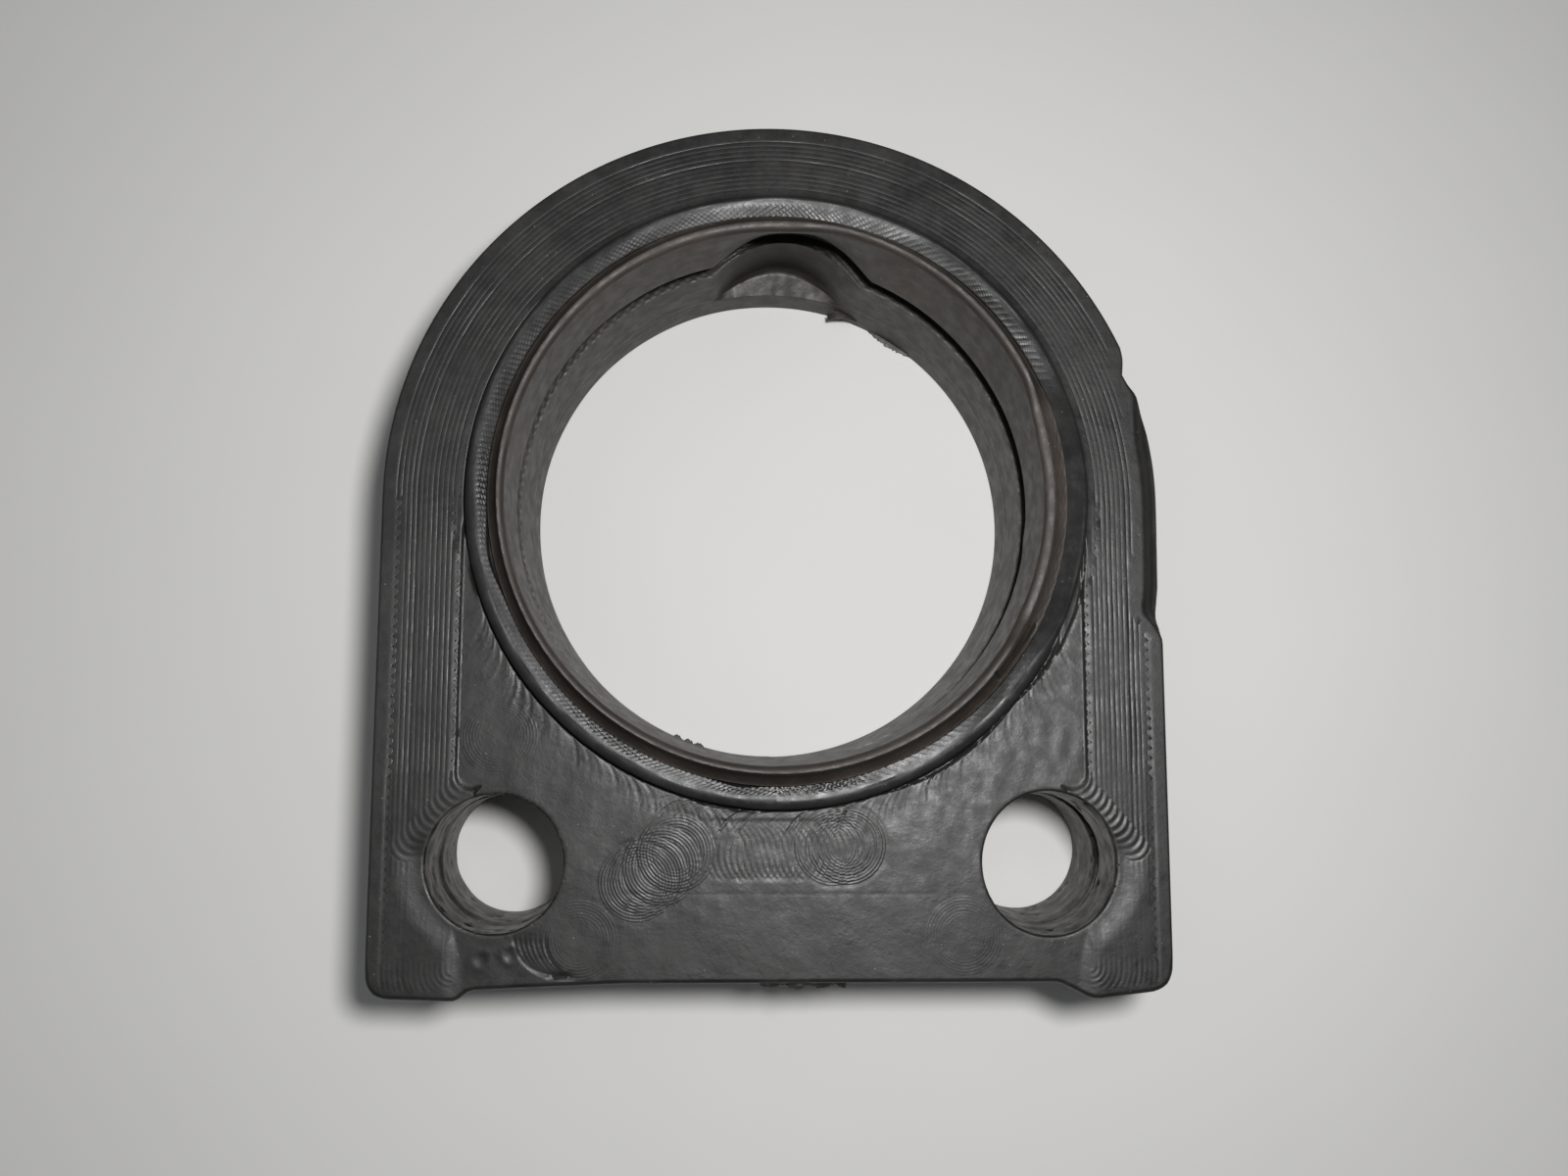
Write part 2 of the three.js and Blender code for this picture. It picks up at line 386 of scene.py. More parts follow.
def outward(loop):
    """Unit normals that point out of a counter-clockwise loop."""
    along = np.roll(loop, -1, axis=0) - np.roll(loop, 1, axis=0)
    normal = np.stack([along[:, 1], -along[:, 0]], axis=1)
    return normal / np.linalg.norm(normal, axis=1, keepdims=True)


def wear_width(x, y):
    """Width of the worn ledge along the right flank's front edge."""
    return 1.55 * smooth(y, -14.2, -11.0) * (1 - smooth(y, 6.0, 14.0)) * (x > 0)


def tear_inset(x, y):
    """How far the torn right edge stands inside the true outline."""
    heights, insets = zip(*TORN_EDGE)
    return np.interp(y, heights, insets) * (x > 0)


def edge_drop(y):
    """How far down the front edge is rounded, a little more round the feet."""
    return EDGE_RADIUS + 0.25 * smooth(-y, 46.0, 48.0)


def ring_offset(angle):
    """How far the collar and lip stand out from their nominal radius at each compass angle."""
    return RING_SHIFT * np.cos(np.radians(turn_from(angle, RING_HEADING)))


def collar_edge(angle):
    return COLLAR_OUTER + RING_SPREAD + ring_offset(angle)


def beyond_collar(x, y):
    """Distance of each point outside the collar's outer edge."""
    return np.hypot(x, y) - collar_edge(compass(x, y))


# ------------ the front face
def hook_passes(x, y):
    """Number of tool passes out from the floor's border, where the path turns beside a bolt hole."""
    across, down = x - HOOK_START[0], y - HOOK_START[1]
    step_x, step_y = HOOK_STEP
    square = step_x**2 + step_y**2
    along = across * step_x + down * step_y
    inner = along**2 - square * (across**2 + down**2 - HOOK_RADIUS**2)
    passes = (along - np.sqrt(np.maximum(inner, 0))) / square
    rise = down - passes * step_y
    return passes, (inner > 0) & (rise < 0)


def pass_number(x, y):
    """How many tool passes a point lies out from the floor's border, and whether it is in a turn."""
    side = np.abs(x)
    straight = (side - FLOOR_BORDER) / PASS_PITCH
    arch = (np.hypot(x, y) - FLOOR_BORDER) / PASS_PITCH
    foot_x, foot_y = FOOT_TURN
    foot = (np.hypot(side - foot_x, y - foot_y) - (FLOOR_BORDER - foot_x)) / PASS_PITCH
    number = np.where(y > 0, arch, np.where((y < foot_y) & (side > foot_x), foot, straight))
    passes, turning = hook_passes(side, y)
    in_turn = turning & (passes > 0) & (passes < HOOK_COUNT) & (y < HOOK_START[1] + 0.1)
    return np.where(in_turn, passes, number), in_turn


def pass_profile(number, in_turn, x, y):
    """Depth of the grooves between tool passes, soft-edged in the corners where the path turns."""
    phase = number - np.floor(number) - 0.5
    sharp = (np.abs(phase) * 2) ** 4
    soft = 1 - (0.5 - 0.5 * np.cos(CIRCLE * (phase + 0.5)))
    corner = smooth(-y, 27.0, 28.5)
    index = np.floor(number + 0.5).astype(int) % 64
    strength = np.random.default_rng(5).uniform(0.45, 1.25, 64)[index]
    strength = strength * (0.85 + 0.3 * ripple(x, y, 9.0, 11))
    strength = strength * (1 - 0.35 * smooth(y, -5.0, 12.0)) * (1 - 0.15 * corner)
    strength = np.where(in_turn, np.where(x > 0, 1.5, 0.7), strength)
    edge = (ARCH_RADIUS - FLOOR_BORDER - EDGE_RADIUS - wear_width(x, y) - tear_inset(x, y)) / PASS_PITCH
    last = np.floor(edge - 2.3)
    strength = strength * (1 - smooth(number, last + 0.3, last + 0.6))
    strength = strength * smooth(beyond_collar(x, y), 0.5, 0.9)
    return -PASS_DEPTH * strength * (sharp * (1 - corner) + soft * corner)


def in_floor(x, y):
    """1 on the recessed floor and 0 on the raised band, with a narrow slope between them."""
    side = np.abs(x)
    below = 1 - smooth(y, -4.0, -2.0)
    border = FLOOR_BORDER - 0.3 * smooth(-y, 44.0, 49.0)
    slope = 0.18 + 0.9 * smooth(-y, 43.0, 46.5)
    flat = 1 - smooth(side, border - slope, border + slope)
    passes, turning = hook_passes(side, y)
    corner = turning & (y < HOOK_START[1]) & (y > BOLT_Y) & (side < BOLT_X + 8)
    flat = np.where(corner, flat * (1 - smooth(passes, -0.35, 0.35)), flat)
    round_hole = 1 - smooth(np.hypot(side - BOLT_X, y - BOLT_Y), 7.0, 9.9)
    round_hole = round_hole * (1 - smooth(y, BOLT_Y + 0.5, BOLT_Y + 4.0))
    return np.maximum(flat, round_hole) * below


def swirl_height(x, y):
    """Rings left where the cutter turned on the spot."""
    total = np.zeros(np.shape(x))
    for centre_x, centre_y, strength in SWIRLS:
        distance = np.hypot(x - centre_x, y - centre_y)
        rings = 0.55 * np.cos(CIRCLE * distance / 0.62) * (1 - smooth(distance, 3.4, 3.9))
        edge = bump(distance, CUTTER_RADIUS, 0.16) * 1.8
        total -= 0.018 * strength * (rings * smooth(distance, 1.6, 3.2) + edge)
    return total


def cutter_arcs(x, y, centres, radius, width):
    """Sum of thin arcs of one radius round each centre."""
    total = np.zeros(np.shape(x))
    for centre_x, centre_y in centres:
        total = total + bump(np.hypot(x - centre_x, y - centre_y), radius, width)
    return total


def collar_comb(x, y, first, last, pitch, seed, side):
    """Cutter arcs that start at the collar's foot and lean to one side, some deeper than others."""
    angle = compass(x, y)
    random = np.random.default_rng(seed)
    total = np.zeros(np.shape(x))
    for turn in np.arange(first, last, pitch):
        turn += random.normal(0, 0.15)
        depth = 0.35 + 1.3 * random.random() ** 3
        centre_x, centre_y = polar(collar_edge(turn) + 0.1 + CUTTER_RADIUS, turn)
        distance = np.hypot(x - centre_x, y - centre_y)
        leaning = smooth(turn_from(angle, turn) * side, -0.3, 0.5)
        total = total + depth * bump(distance, CUTTER_RADIUS, 0.13) * leaning
    return total


def arc_train_height(x, y):
    """Trains of cutter arcs: trochoids at the top of the web, and combs beside the collar."""
    away = beyond_collar(x, y)
    top_train = [(start, -36.1) for start in np.arange(-6.5, 5.6, 0.62)]
    part = window(y, -38.4, -33.0, 0.5) * window(x, -6.0, 9.0, 1.0)
    total = -0.03 * cutter_arcs(x, y, top_train, 3.6, 0.15) * part
    total -= 0.06 * collar_comb(x, y, 193.0, 250.0, 1.15, 101, -1) * (1 - smooth(away, 1.6, 3.2))
    total -= 0.05 * collar_comb(x, y, 156.0, 196.0, 1.05, 102, 1) * (1 - smooth(away, 1.8, 3.4))
    total -= 0.045 * collar_comb(x, y, 112.0, 156.0, 1.3, 103, 1) * (1 - smooth(away, 1.6, 3.6))
    foot_comb = [(-18.6 - 0.5 * k, -44.2 + 0.06 * k) for k in range(7)]
    part = smooth(-x, 19.0, 21.0) * smooth(-y, 43.2, 45.0)
    return total - 0.07 * cutter_arcs(x, y, foot_comb, CUTTER_RADIUS, 0.16) * part


def floor_damage(x, y):
    """Cracks, slivers and dimples beside the collar and on the floor."""
    angle = compass(x, y)
    away = beyond_collar(x, y)
    total = np.zeros(np.shape(x))
    for low, high, rise, start in CRACKS:
        share = np.clip((angle % 360 - low) / (high - low), 0, 1)
        line = start + rise * np.sin(math.pi * share) ** 0.8
        part = window(angle % 360, low, high, 0.6)
        total -= 0.13 * bump(away, line, 0.085) * part
    for centre, line, width in SLIVERS:
        total += 0.3 * bump(away, line, 0.16) * bump(turn_from(angle, centre), 0, width)
    for dimple_x, dimple_y in DIMPLES:
        distance = np.hypot(x - dimple_x, y - dimple_y)
        total += 0.03 * bump(distance, 0.85, 0.3) - 0.07 * bump(distance, 0, 0.55)
    return total


def crevice_depth(angle):
    """How deep the crevice along the collar's outer foot is, by compass angle."""
    left = window(turn_from(angle, -120), -70, 62, 12)
    lower_right = 0.8 * window(turn_from(angle, 155), -28, 24, 6)
    return 0.03 + 0.7 * np.maximum(left, lower_right)


def face_height(x, y):
    """Height of the front face at each point, outside the collar."""
    x, y = np.asarray(x, float), np.asarray(y, float)
    number, in_turn = pass_number(x, y)
    floor = in_floor(x, y)
    fading = 1 - 0.6 * window(np.abs(x), 33.0, 37.2, 0.8) * window(y, -45.5, -38.0, 1.5)
    band = FACE_Z - 0.02 + pass_profile(number, in_turn, x, y) * fading
    gloss = window(x, 14.0, 31.0, 4.0) * window(y, -30.0, -6.0, 4.0)
    recess = FLOOR_Z + 0.02 * ripple(x, y, 7.0, 3) + (0.007 + 0.012 * gloss) * ripple(x, y, 2.2, 8)
    recess = recess + swirl_height(x, y) + arc_train_height(x, y)
    recess = recess - 0.012 * bump(y, -40.0, 0.16) * window(x, -14, 16, 5)
    height = band * (1 - floor) + recess * floor + floor_damage(x, y)
    depth = crevice_depth(compass(x, y))
    away = np.maximum(beyond_collar(x, y), 0)
    height = height - depth * np.exp(-((away / 0.13) ** 2))
    fillet = 0.14 * (1 - smooth(depth, 0.1, 0.5))
    return np.maximum(height + fillet * np.exp(-away / 0.3), SEAT_Z + 0.05)


def distance_inside(points, loop):
    """How far each point lies inside a closed loop, worked out a batch at a time."""
    normal = outward(loop)
    result = np.empty(len(points))
    batch = 4000
    for start in range(0, len(points), batch):
        part = points[start:start + batch]
        offset = part[:, None] - loop[None]
        near = np.argmin((offset**2).sum(axis=2), axis=1)
        pick = np.arange(len(part))
        result[start:start + batch] = -(offset[pick, near] * normal[near]).sum(axis=1)
    return result


def band_points(edge_loop):
    """Rows of points that follow the tool passes over the arch and both flanks."""
    shares = (0.0, 0.07, 0.18, 0.5, 0.82, 0.93)
    offsets = np.array([PASS_PITCH * (k + share) for k in range(16) for share in shares])
    found = []
    for radius in FLOOR_BORDER + offsets:
        for angle in np.radians(np.arange(0, 180.01, 1.5)):
            found.append((radius * math.cos(angle), radius * math.sin(angle)))
        lowest = -46.5 if radius > FLOOR_BORDER + 12.2 * PASS_PITCH else -27.9
        for y in np.arange(lowest, -0.2, 0.3 if radius < FLOOR_BORDER + 0.12 else 1.0):
            found += [(radius, y), (-radius, y)]
    found = np.array(found)
    found = found[beyond_collar(*found.T) > np.where(found[:, 1] < -0.5, 1.12, 0.4)]
    return found[distance_inside(found, edge_loop) > 0.5]


def collar_foot_points():
    """Rings of points just outside the collar, most of them beside the floor."""
    found = []
    angle = full_turn(900)
    for away in (0.05, 0.1, 0.15, 0.21, 0.28, 0.36, 0.45, 0.55, 0.66, 0.78, 0.92, 1.07):
        ring = np.stack(polar(collar_edge(angle) + away, angle), axis=1)
        found.append(ring[(ring[:, 1] < -0.5) | (away < 0.4)])
    return found


def border_points():
    """Rows of points along the straight borders of the floor."""
    found = []
    y = np.arange(-28.0, -0.4, 0.3)
    for side in (-1, 1):
        for inset in (0.08, 0.17, 0.27):
            row = np.stack([np.full(len(y), side * (FLOOR_BORDER - inset)), y], axis=1)
            found.append(row[beyond_collar(*row.T) > 1.12])
    return found


def zone_points(edge_loop, rims):
    """Slightly uneven grids of points, each zone as fine as its detail needs."""
    floor_edge = FLOOR_BORDER - 0.36
    zones = (
        (-floor_edge, floor_edge, -31.0, -0.5, 0.25),
        (-floor_edge, -16.0, -43.0, -31.0, 0.26),
        (-27.0, -16.0, -48.6, -43.0, 0.15),
        (-floor_edge, -27.0, -48.6, -43.0, 0.24),
        (16.0, floor_edge, -48.6, -31.0, 0.25),
        (-16.0, 16.0, -41.0, -31.0, 0.165),
        (-16.0, 16.0, -48.6, -41.0, 0.3),
        (floor_edge, 38.0, -38.0, -28.1, 0.115),
        (-38.0, -floor_edge, -38.0, -28.1, 0.13),
        (floor_edge, 38.0, -46.4, -38.0, 0.2),
        (-38.0, -floor_edge, -46.4, -38.0, 0.2),
        (floor_edge, ARCH_RADIUS, -50.4, -46.5, 0.14),
        (-ARCH_RADIUS, -floor_edge, -50.4, -46.5, 0.14),
    )
    found = []
    random = np.random.default_rng(21)
    for left, right, bottom, top, step in zones:
        x, y = np.meshgrid(np.arange(left, right, step), np.arange(bottom, top, step))
        grid = np.stack([x.ravel(), y.ravel()], axis=1)
        grid += random.uniform(-0.12, 0.12, grid.shape) * step
        inside = beyond_collar(*grid.T) > 1.15
        for rim in rims:
            middle = rim.mean(axis=0)
            reach = np.abs(rim - middle).max(axis=0) + 0.12
            inside &= np.hypot(*((grid - middle) / reach).T) > 1
        grid = grid[inside]
        found.append(grid[distance_inside(grid, edge_loop) > 0.44])
    return found


def face_points(edge_loop, rims):
    """Points inside the face's edges, close together where the surface has fine detail."""
    normal = outward(edge_loop)
    found = [band_points(edge_loop)]
    found += [edge_loop - normal * inset for inset in (0.16, 0.36)]
    found += collar_foot_points()
    found += border_points()
    found += zone_points(edge_loop, rims)
    return np.concatenate(found)


# ------------ walls shared by both castings
def wall_texture(x, y, z):
    """Terraces of the mould's side passes and a soft unevenness, as a distance outwards."""
    terrace = -0.022 * np.abs(np.sin(math.pi * z / 0.95)) ** 6
    return terrace + 0.035 * ripple(x + y, z, 11.0, 31)


def seam_inset(z):
    return 0.16 * bump(z, SEAM_Z, 0.22)


def outer_rows(outline, heights):
    """Rows of the outer wall at the heights given, leaning in a little at the seam."""
    normal = outward(outline)
    rows = []
    for z in heights:
        torn = tear_inset(*outline.T) * smooth(z, 11.5, 15.5)
        shift = wall_texture(*outline.T, z) - seam_inset(z) - torn
        points = outline + normal * shift[:, None]
        rows.append(lift(points, z))
    return rows


def bolt_stretch(side, z):
    """How much taller than wide a bolt hole is at a height."""
    return 1 + (BOLT_STRETCH - 1) * smooth(z, SEAM_Z - 6.0, FACE_Z) * (side > 0)


def bolt_drift(side, z):
    """How far each bolt hole's axis has wandered off at a height, from nothing at the seam."""
    share = max(0.0, 1 - z / SEAM_Z)
    drift_x, drift_y = BOLT_DRIFT[side]
    return drift_x * share, drift_y * share


def bolt_rim(side, radius, z):
    angle = np.linspace(0, CIRCLE, BOLT_COLUMNS, endpoint=False)
    tall = radius * bolt_stretch(side, z)
    drift_x, drift_y = bolt_drift(side, z)
    x = side * BOLT_X + drift_x + radius * np.cos(angle)
    return np.stack([x, BOLT_Y + drift_y + tall * np.sin(angle)], axis=1)


def bolt_seam_gap(side, angle):
    """Extra depth of the seam in each bolt hole, largest on one side."""
    facing = math.radians(BOLT_SEAM_FACING[side])
    turn = np.abs((angle - facing + math.pi) % (CIRCLE) - math.pi)
    return 0.1 + BOLT_SEAM_DEPTH[side] * np.exp(-((turn / 0.62) ** 2))


def bolt_rows(side, radius, heights):
    """Rows of a bolt hole's wall, pitted and uneven, with the seam opening out."""
    angle = np.linspace(0, CIRCLE, BOLT_COLUMNS, endpoint=False)
    travel = angle * radius
    random = np.random.default_rng(45 + side)
    pits = []
    for _ in range(BOLT_PITS):
        pit_angle = random.uniform(0, CIRCLE)
        pit_z = random.uniform(0.5, FLOOR_Z)
        pits.append((pit_angle, pit_z, random.uniform(0.2, 0.42)))
    rows = []
    for z in heights:
        gap = bolt_seam_gap(side, angle) * bump(z, SEAM_Z, 0.42)
        uneven = 0.06 * ripple(travel, z, 3.0, 41 + side) + 0.02 * ripple(travel, z, 0.9, 47)
        for pit_angle, pit_z, pit_size in pits:
            turn = np.abs((angle - pit_angle + math.pi) % (CIRCLE) - math.pi) * radius
            uneven = uneven + 0.25 * np.exp(-((turn**2 + (z - pit_z) ** 2) / pit_size**2))
        size = radius + gap + uneven * window(z, 0.4, FLOOR_Z - 0.5, 0.3)
        drift_x, drift_y = bolt_drift(side, z)
        x = side * BOLT_X + drift_x + size * np.cos(angle)
        y = BOLT_Y + drift_y + size * np.sin(angle) * bolt_stretch(side, z)
        rows.append(lift(np.column_stack([x, y]), z))
    return rows


def eye_ring(radius, z, count=EYE_COLUMNS):
    """One row round the eye. radius and z may change with the compass angle."""
    return lift(np.column_stack(polar(radius, full_turn(count))), z)


def notch_rise(centre, half_angle, power, count=EYE_COLUMNS):
    """How far the keyway notch opens at each angle, from 0 outside it to 1 at its crown."""
    turn = np.clip(turn_from(full_turn(count), centre) / half_angle, -1, 1)
    return (1 - turn**2) ** power


# ------------ the four castings
def front_edge_rows(outline, lip):
    """Rows over the rounded front edge, with the worn ledge along the right flank."""
    normal = outward(outline)
    wear = wear_width(*outline.T)
    drop = edge_drop(outline[:, 1])
    edge_width = drop + wear
    top = face_height(*lip.T)
    rows = [lift(lip, top)]
    for share in np.linspace(0, 1, 13)[1:]:
        travel = share * edge_width
        ledge = LEDGE_DEPTH * smooth(travel, 0.0, 1.5) * smooth(wear, 0.0, 0.9)
        turn = np.clip((travel - wear) / (edge_width - wear), 0, 1)
        fall = drop * (1 - np.sqrt(1 - turn**2))
        points = lip + normal * travel[:, None]
        rows.append(lift(points, top - ledge - fall))
    return rows


def front_bolt_rows(side, rim):
    """Rows of a bolt hole in the front casting, from its rounded rim down to the seam."""
    start = face_height(*rim.T)
    centre = np.array([side * BOLT_X, BOLT_Y])
    rows = []
    for share in (0.0, 0.3, 0.6, 0.85):
        angle = share * math.pi / 2
        size = BOLT_RADIUS_FRONT + RIM_ROUND * (1 - math.sin(angle))
        points = centre + (rim - centre) * (size / (BOLT_RADIUS_FRONT + RIM_ROUND))
        rows.append(lift(points, start - RIM_ROUND * (1 - math.cos(angle))))
    heights = np.arange(SEAM_Z, FLOOR_Z - RIM_ROUND, 0.26)[::-1]
    return rows + bolt_rows(side, BOLT_RADIUS_FRONT, heights)


def front_eye_rows(seat, seat_top):
    """Rows of the eye in the front casting: the collar's seat, the liner's socket and the notch."""
    hole = LINER_OUTER + PIECE_GAP
    depth = (NOTCH_RADIUS_FRONT - hole + 1.6) * notch_rise(4.2, 19.5, 1.1) - 1.6
    depth = np.maximum(depth, 0)
    rows = [
        eye_ring(seat, seat_top),
        eye_ring(seat, (seat_top + SEAT_Z) / 2),
        eye_ring(seat, SEAT_Z - PIECE_GAP),
        eye_ring(hole, SEAT_Z - PIECE_GAP),
        eye_ring(hole, NOTCH_ROOF_Z + 0.3),
    ]
    for share in (0.0, 0.3, 0.6, 0.85, 1.0):
        rows.append(eye_ring(hole + depth * share, NOTCH_ROOF_Z - 0.5 * share**2 - 0.02 * share))
    for z in np.linspace(NOTCH_ROOF_Z - 0.9, SEAM_Z + 0.02, 8):
        rows.append(eye_ring(hole + depth, z))
    return rows


def front_casting(material):
    outline = block_outline()
    x, y = outline.T
    inset = edge_drop(y) + wear_width(x, y) + tear_inset(x, y)
    lip = outline - outward(outline) * inset[:, None]
    rims = {side: bolt_rim(side, BOLT_RADIUS_FRONT + RIM_ROUND, FACE_Z) for side in (-1, 1)}
    seat = collar_edge(full_turn(EYE_COLUMNS)) + PIECE_GAP
    collar_seat = eye_ring(seat, 0)[:, :2]
    shell = Shell()
    inner_points = face_points(lip, list(rims.values()))
    vertices, faces = triangulate(lip, [collar_seat, *rims.values()], inner_points)
    shell.add(lift(vertices, face_height(*vertices.T)), faces)

    edge = front_edge_rows(outline, lip)
    wall = outer_rows(outline, np.arange(SEAM_Z, 16.6, 0.42)[::-1])
    between = [edge[-1] * (1 - share) + wall[0] * share for share in (0.25, 0.5, 0.75)]
    shell.grid(edge + between + wall)
    for side, rim in rims.items():
        shell.grid(front_bolt_rows(side, rim))
    eye = front_eye_rows(seat, face_height(*collar_seat.T))
    shell.grid(eye)

    bolts = [bolt_rows(side, BOLT_RADIUS_FRONT, [SEAM_Z])[0][:, :2] for side in (-1, 1)]
    vertices, faces = triangulate(wall[-1][:, :2], [eye[-1][:, :2], *bolts])
    beside_eye = np.hypot(*vertices.T) < NOTCH_RADIUS_FRONT + 0.1
    height = np.where(beside_eye, SEAM_Z + 0.02, SEAM_Z)
    shell.add(lift(vertices, height), faces)
    return shell.build("front_casting", material, "front_half")


def back_eye_rows():
    """Rows of the eye in the back casting: the shelf at the seam, the keyway notch and the bore."""
    angle = full_turn(EYE_COLUMNS)
    draft = (BORE_RADIUS_SEAM - BORE_RADIUS_BACK) / SEAM_Z

    def bore(z):
        return BORE_RADIUS_BACK + draft * z + 0.03 * ripple(angle, z * 8, 40.0, 61)

    def notch(z):
        share = (z - NOTCH_FLOOR_Z) / (SEAM_Z - NOTCH_FLOOR_Z)
        depth = 3.05 + (NOTCH_RADIUS_BACK - BORE_RADIUS_SEAM - 3.05) * share
        return depth * notch_rise(1.8 + 1.4 * share, 16.8 + 0.8 * share, 1.5 - 0.4 * share)

    edge = bore(SEAM_Z) + notch(SEAM_Z)
    rows = [eye_ring(np.maximum(BORE_RADIUS_SEAM + 3.0, edge + 0.5), SEAM_Z)]
    shelf = np.hypot(rows[0][:, 0], rows[0][:, 1])
    for share in np.linspace(0, 1, 22)[1:-1]:
        radius = shelf * (1 - share) + edge * share
        arc = np.radians(angle) * radius
        hatch = hatching(arc * 0.8 + radius, 0.75)
        cross = hatching(arc * 0.5 - radius, 0.9)
        rows.append(eye_ring(radius, SEAM_Z - 0.02 - 0.05 * hatch - 0.03 * cross))
    rows.append(eye_ring(edge, SEAM_Z - 0.06))
    for z in np.linspace(SEAM_Z - 0.2, NOTCH_FLOOR_Z + 0.7, 16):
        rows.append(eye_ring(bore(z) + notch(z), z))
    floor = NOTCH_FLOOR_Z + 0.03 * ripple(angle * 0.5, 0, 2.0, 67)
    for share in np.linspace(0, 1, 12):
        fillet = 0.4 * (1 - smooth(share, 0.0, 0.16))
        z = floor + fillet - 0.35 * share + 0.03 * ripple(angle, share * 4, 3.0, 68)
        rows.append(eye_ring(bore(NOTCH_FLOOR_Z) + notch(NOTCH_FLOOR_Z) * (1 - share), z))
    for z in (3.45, 3.3, 2.8, 2.2, 1.6, 1.0, 0.5, 0.15):
        rows.append(eye_ring(bore(z), z))
    rows.append(eye_ring(BORE_RADIUS_BACK + 0.12, 0.0))
    return rows


def back_casting(material):
    outline = block_outline()
    shell = Shell()
    wall = outer_rows(outline, np.concatenate([np.arange(SEAM_Z, 0.5, -0.24), [0.3, 0.12]]))
    foot = outline - outward(outline) * 0.25
    wall.append(lift(foot, 0.0))
    shell.grid(wall)

    bases = [bolt_rim(side, BOLT_RADIUS_BACK + 0.15, 0) for side in (-1, 1)]
    for side, base in zip((-1, 1), bases):
        rows = bolt_rows(side, BOLT_RADIUS_BACK, np.arange(SEAM_Z, 0.2, -0.28))
        rows.append(lift(base, 0.0))
        shell.grid(rows)
    eye = back_eye_rows()
    shell.grid(eye)

    bolts = [bolt_rows(side, BOLT_RADIUS_BACK, [SEAM_Z])[0][:, :2] for side in (-1, 1)]
    vertices, faces = triangulate(wall[0][:, :2], [eye[0][:, :2], *bolts])
    shell.add(lift(vertices, SEAM_Z), faces)
    vertices, faces = triangulate(foot, [eye[-1][:, :2], *bases])
    shell.add(lift(vertices, 0.0), faces)
    return shell.build("back_casting", material, "back_half")


def collar_ring(material):
    """The bead round the eye, with a cross-hatched land that dips to its inner edge."""
    angle = full_turn(COLLAR_COLUMNS)
    shift = ring_offset(angle)
    worn = window(turn_from(angle, 93), -20, 22, 10)
    inner = LINER_OUTER + CREASE_SPREAD + PIECE_GAP * (1 - 0.8 * worn) + shift
    outer = COLLAR_OUTER + RING_SPREAD + shift
    bulge = 0.45 * bump(turn_from(angle, -103), 0, 6) + 0.3 * bump(turn_from(angle, -173), 0, 4)
    marks = 0.35
    for centre, strength, width in HATCHED_PARTS:
        marks = marks + strength * bump(turn_from(angle, centre), 0, width)
    marks = marks * (1 - 0.95 * worn) * (0.8 + 0.3 * ripple(angle, 0, 20.0, 71))

    def ring(radius, z):
        return eye_ring(radius, z, COLLAR_COLUMNS)

    rows = [ring(inner, SEAT_Z), ring(outer, SEAT_Z)]
    foot = outer + 0.03 * ripple(angle, 0, 30.0, 73)
    rows += [ring(foot, z) for z in (18.0, 18.4, 18.7, 19.0)]
    tilt = 0.35 + 2.4 * bump(turn_from(angle, 4), 0, 24) + 0.5 * bump(turn_from(angle, 190), 0, 35)
    tilt = tilt - 1.2 * bump(turn_from(angle, 130), 0, 17)
    broad = 0.5 + 0.5 * window(turn_from(angle, 190), -65, 75, 15)
    shoulder_z = SHOULDER_Z + 0.03 * ripple(angle, 0, 50.0, 75)
    for share in np.linspace(0, 1, 8):
        turn = share * math.pi / 2
        rows.append(ring(foot - broad * (1 - math.cos(turn)), 19.0 + (shoulder_z - 19.0) * math.sin(turn)))
    shoulder = foot - broad
    for share in np.linspace(0, 1, 19)[1:]:
        radius = shoulder * (1 - share) + (inner + bulge) * share
        fall = (SHOULDER_Z - CREASE_Z) * tilt * share**1.2 - 0.5 * worn * share
        arc = np.radians(angle) * radius
        hatch = hatching(arc + radius * 1.3, 0.58)
        cross = hatching(arc - radius * 1.6, 0.83)
        land = smooth(share, 0.2, 0.5) * (1 - smooth(share, 0.96, 1.0))
        texture = -0.06 * marks * land * (hatch + 0.7 * cross)
        rows.append(ring(radius, shoulder_z - fall + texture + 0.02 * ripple(angle, radius * 4, 9.0, 77)))
    rows += [
        ring(inner + bulge * 0.6, CREASE_Z - 0.55 + 0.4 * worn),
        ring(inner, CREASE_Z - 0.7),
        ring(inner, SEAT_Z),
    ]
    shell = Shell()
    shell.grid(rows)
    return shell.build("collar_ring", material, "eye_collar")


